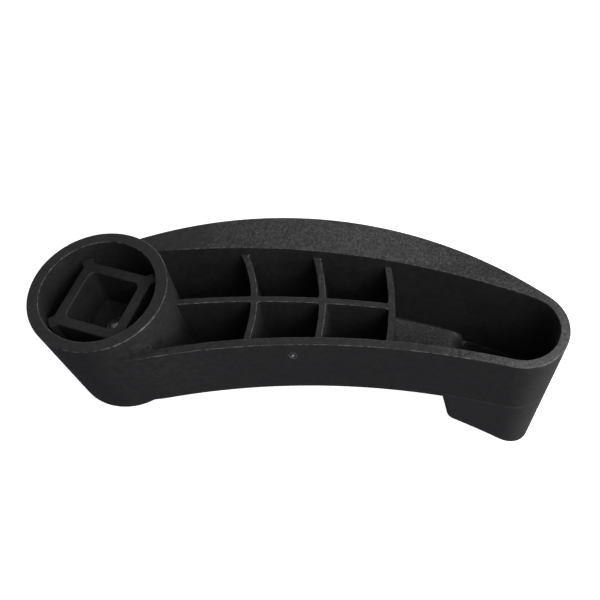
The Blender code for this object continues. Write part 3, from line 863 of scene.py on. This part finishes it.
def moulded_nylon(name, pale, dust_and_light, rub_and_highlight):
    """Black glass-filled nylon with scuffs, pale flecks that are partly dust and partly painted light,
    painted shade on the hub's rim, upper edges partly rubbed and partly painted as highlight, a painted
    highlight along the seam and a gate mark.

    pale lifts the whole colour towards grey; the other two numbers set how thick the flecks and the pale
    edge lines lie.  Places are in metres.
    """
    m = Shade(name)
    cloud = m.noise(45.0, 4.0, 0.6)
    patch = m.noise(330.0, 4.0, 0.65)
    grain = m.noise(1500.0, 3.0, 0.7)
    fleck = m.noise(900.0, 5.0, 0.75)
    x = m.along("X")
    y = m.along("Y")
    z = m.along("Z")
    slant = m.slant()

    tone = m.math("ADD", m.span(cloud, 0.35, 0.65, 0.0, 0.3), m.span(patch, 0.4, 0.6, 0.0, 0.5))
    tone = m.math("ADD", tone, m.span(grain, 0.4, 0.6, 0.0, 0.8))
    colour = m.mix(m.math("MULTIPLY", tone, 0.7), grey(0.01), (0.034, 0.034, 0.0345))
    colour = m.mix(pale, colour, grey(0.06))

    # pale flecks on what faces up, partly dust and partly painted light: thick on the wide back rim, round
    # the end
    #     # and on the low floors, rising towards the grip end, thin elsewhere
    near = m.span(x, 0.02, 0.14, 0.1, 0.5)
    back = m.math("ADD", m.span(x, 0.03, 0.05, 0.0, 0.6), m.span(x, 0.12, 0.19, 0.0, -0.3))
    back = m.math("MULTIPLY", back, m.span(y, 0.012, 0.035, 0.0, 1.0))
    end = m.math("MULTIPLY", m.span(x, 0.15, 0.2, 0.0, 0.75), m.span(y, 0.005, 0.03, 1.0, 0.0))
    low = m.span(z, 0.012, 0.02, 0.35, 0.0)
    dust_and_light_spread = m.math("ADD", m.math("ADD", near, back), m.math("ADD", end, low))
    dust_and_light_cover = m.span(m.math("ADD", fleck, m.math("MULTIPLY", dust_and_light_spread, 0.3 * dust_and_light)), 0.7, 1.05, 0.0, 1.0)
    dust_and_light_cover = m.math("MULTIPLY", dust_and_light_cover, m.span(grain, 0.35, 0.6, 0.45, 1.0))
    dust_and_light_cover = m.math("MULTIPLY", dust_and_light_cover, m.span(slant, 0.75, 0.98, 0.0, 1.0))
    colour = m.mix(dust_and_light_cover, colour, grey(0.16))

    # painted shade: the hub's rim is darkened, the more so away from the near side
    hub_rim_shade = m.math("MULTIPLY", m.span(z, 0.0665, 0.0675, 0.0, 0.45), m.span(y, -0.03, 0.0, 0.2, 1.0))
    colour = m.mix(hub_rim_shade, colour, grey(0.012))

    # handling has scuffed the corner where the near wall leaves the hub
    scuff = m.math("MULTIPLY", m.near_spot(SCUFF_PLACE, 0.006, 0.034), m.span(patch, 0.42, 0.62, 0.1, 1.0))
    scuff = m.math("MULTIPLY", scuff, m.span(fleck, 0.4, 0.6, 0.3, 0.8))
    colour = m.mix(m.math("MULTIPLY", scuff, 0.45), colour, grey(0.075))

    # the rounded upper edges carry a broken pale line, partly rubbed wear and partly painted highlight
    edge = m.math("MULTIPLY", m.span(slant, 0.15, 0.4, 0.0, 1.0), m.span(slant, 0.85, 0.97, 1.0, 0.0))
    edge = m.math("MULTIPLY", edge, m.span(z, 0.040, 0.044, 0.0, 1.0))
    edge = m.math("MULTIPLY", edge, m.span(m.noise(420.0, 4.0, 0.7), 0.42, 0.66, 0.0, rub_and_highlight))
    on_hub = m.span(z, 0.058, 0.06, 0.0, 1.0)
    edge = m.math("MULTIPLY", edge, m.math("MAXIMUM", on_hub, m.span(x, 0.024, 0.034, 0.0, 1.0)))
    colour = m.mix(edge, colour, grey(0.2))

    # painted highlight: a pale line along the seam, shown only on the outside of the grip's end, where the
    # walls lean down
    seam_highlight = m.span(m.math("ABSOLUTE", m.math("SUBTRACT", z, JOINT_Z * MM)), 0.0003, 0.0007, 0.8, 0.0)
    seam_highlight = m.math("MULTIPLY", seam_highlight, m.span(slant, -0.03, -0.01, 1.0, 0.0))
    seam_highlight = m.math("MULTIPLY", seam_highlight, m.span(x, GRIP_LEFT_X * MM - 0.002, GRIP_LEFT_X * MM + 0.002, 0.0, 1.0))
    colour = m.mix(seam_highlight, colour, grey(0.075))

    # colours painted round the gate: a pale outer ring, a dark dish inside it and a near-white stub in the
    # middle
    gate = gate_place().translation
    for inner, outer, value in ((0.002, 0.0023, 0.085), (0.0012, 0.0014, 0.012), (0.0006, 0.0008, 0.45)):
        colour = m.mix(m.near_spot(gate, inner, outer, GATE_TALL), colour, grey(value))

    m.feed(m.shader, "Base Color", colour)
    rough = m.math("ADD", m.span(cloud, 0.3, 0.7, 0.5, 0.62), m.span(grain, 0.3, 0.7, -0.05, 0.06))
    m.feed(m.shader, "Roughness", rough)
    m.shader.inputs["Specular IOR Level"].default_value = 0.4
    coarse = m.bump(m.noise(120.0, 3.0, 0.5), 0.15, 0.0004)
    m.feed(m.shader, "Normal", m.bump(grain, 0.5, 0.00012, coarse))
    return m.mat


def worn_metal(name, colour, rough, stain):
    """Plated or turned metal with fine scratches and dull patches."""
    m = Shade(name)
    patch = m.noise(260.0, 4.0, 0.6)
    scratch = m.noise(2200.0, 2.0, 0.5, (1.0, 6.0, 1.0))
    m.feed(m.shader, "Base Color", m.mix(m.span(patch, 0.4, 0.7, 0.0, 0.7), colour, stain))
    m.feed(m.shader, "Roughness", m.span(scratch, 0.3, 0.7, rough - 0.06, rough + 0.1))
    m.shader.inputs["Metallic"].default_value = 1.0
    m.feed(m.shader, "Normal", m.bump(scratch, 0.2, 0.00005))
    return m.mat


def white_paper(name, mottle, detail, rough, glow):
    """White paper with a faint mottle; glow lights it from behind, so that shadows on it stay faint."""
    m = Shade(name)
    tone = m.span(m.noise(mottle, detail, rough), 0.3, 0.7, 0.0, 1.0)
    m.feed(m.shader, "Base Color", m.mix(tone, grey(0.88), grey(0.9)))
    m.shader.inputs["Roughness"].default_value = 0.9
    m.shader.inputs["Specular IOR Level"].default_value = 0.0
    m.shader.inputs["Emission Color"].default_value = (1.0, 1.0, 1.0, 1.0)
    m.shader.inputs["Emission Strength"].default_value = glow
    return m.mat


def stand_for(piece, node, mat):
    piece.name = piece.data.name = node + "_visual"
    piece.data.materials.clear()
    piece.data.materials.append(mat)
    smooth(piece)
    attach(piece, "root")
    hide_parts(node)


def make_camera():
    forward = CAMERA_FORWARD.normalized()
    right = forward.cross(CAMERA_UP).normalized()
    data = bpy.data.cameras.new("camera")
    data.sensor_width = 36.0
    data.lens = CAMERA_LENS
    data.clip_start = 0.01
    data.clip_end = 20.0
    cam = bpy.data.objects.new("camera", data)
    place = Matrix((right, right.cross(forward), -forward)).transposed().to_4x4()
    place.translation = CAMERA_PLACE
    cam.matrix_world = place
    bpy.context.scene.collection.objects.link(cam)
    bpy.context.scene.camera = cam


def make_floor():
    """Square of paper, 6 m wide, under the lowest point of the object."""
    bm = bmesh.new()
    z = min(CAD_BOX[0].z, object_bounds()[0].z)
    for x, y in ((-3.0, -3.0), (3.0, -3.0), (3.0, 3.0), (-3.0, 3.0)):
        bm.verts.new((x, y, z))
    bm.faces.new(bm.verts)
    floor = new_object("floor", bm)
    floor.data.materials.append(white_paper("floor_paper", 300.0, 3.0, 0.6, 0.85))
    floor.visible_diffuse = False
    floor.visible_glossy = False


def make_backdrop():
    """White dome that only the camera sees, behind the floor's far edge."""
    radius = 2.9 / MM
    turns = [math.radians(t) for t in (-8, 0, 15, 30, 45, 60, 75, 88)]
    dome = turned("backdrop", [(radius * math.cos(a), radius * math.sin(a)) for a in turns], 48)
    dome.data.materials.append(white_paper("backdrop_white", 3.0, 2.0, 0.5, 1.0))
    dome.visible_diffuse = False
    dome.visible_glossy = False
    dome.visible_shadow = False


def area_light(name, target, azimuth, elevation, away, size, power):
    """Round soft light that faces target; angles are in degrees, lengths in metres, power in watts."""
    a = math.radians(azimuth)
    e = math.radians(elevation)
    towards_light = Vector((math.cos(a) * math.cos(e), math.sin(a) * math.cos(e), math.sin(e)))
    data = bpy.data.lights.new(name, "AREA")
    data.shape = "DISK"
    data.size = size
    data.energy = power
    ob = bpy.data.objects.new(name, data)
    ob.location = Vector(target) + away * towards_light
    ob.rotation_mode = "QUATERNION"
    ob.rotation_quaternion = towards_light.to_track_quat("Z", "Y")
    ob.visible_camera = False
    bpy.context.scene.collection.objects.link(ob)


def make_world():
    world = bpy.data.worlds.new("studio")
    world.use_nodes = True
    world.node_tree.nodes["Background"].inputs["Color"].default_value = (0.95, 0.96, 1.06, 1.0)
    world.node_tree.nodes["Background"].inputs["Strength"].default_value = 0.135
    bpy.context.scene.world = world
    bpy.context.scene.view_settings.view_transform = "Standard"


stand_for(make_arm(), "arm_body", moulded_nylon("arm_nylon", 0.0, 1.0, 0.8))
stand_for(make_grip(), "grip", moulded_nylon("grip_nylon", 0.18, 1.0, 0.8))
stand_for(make_socket(), "drive_socket", moulded_nylon("socket_nylon", 0.0, 1.0, 0.25))
steel = (0.62, 0.62, 0.6)
stain = (0.3, 0.29, 0.27)
stand_for(make_screw(), "socket_screw", worn_metal("screw_steel", steel, 0.28, stain))
stand_for(make_washer(), "socket_washer", worn_metal("washer_steel", steel, 0.34, stain))
brass = worn_metal("insert_brass", (0.7, 0.52, 0.24), 0.33, (0.4, 0.28, 0.12))
stand_for(make_insert(), "threaded_insert", brass)
make_camera()
make_floor()
make_backdrop()
make_world()
MIDDLE = (0.095, 0.01, 0.02)
area_light("grip_side", (0.2, 0.0, 0.03), -45.0, 50.0, 0.5, 0.35, 1.67)
area_light("end_side", (0.215, -0.01, 0.02), -10.0, 8.0, 0.2, 0.28, 0.47)
area_light("right", MIDDLE, 0.0, 15.0, 1.2, 0.9, 4.9)
area_light("back", MIDDLE, 90.0, 15.0, 1.2, 0.9, 2.75)
area_light("back_left", MIDDLE, 135.0, 15.0, 1.2, 0.9, 2.1)
area_light("above", MIDDLE, -45.0, 72.0, 1.2, 0.9, 1.07)
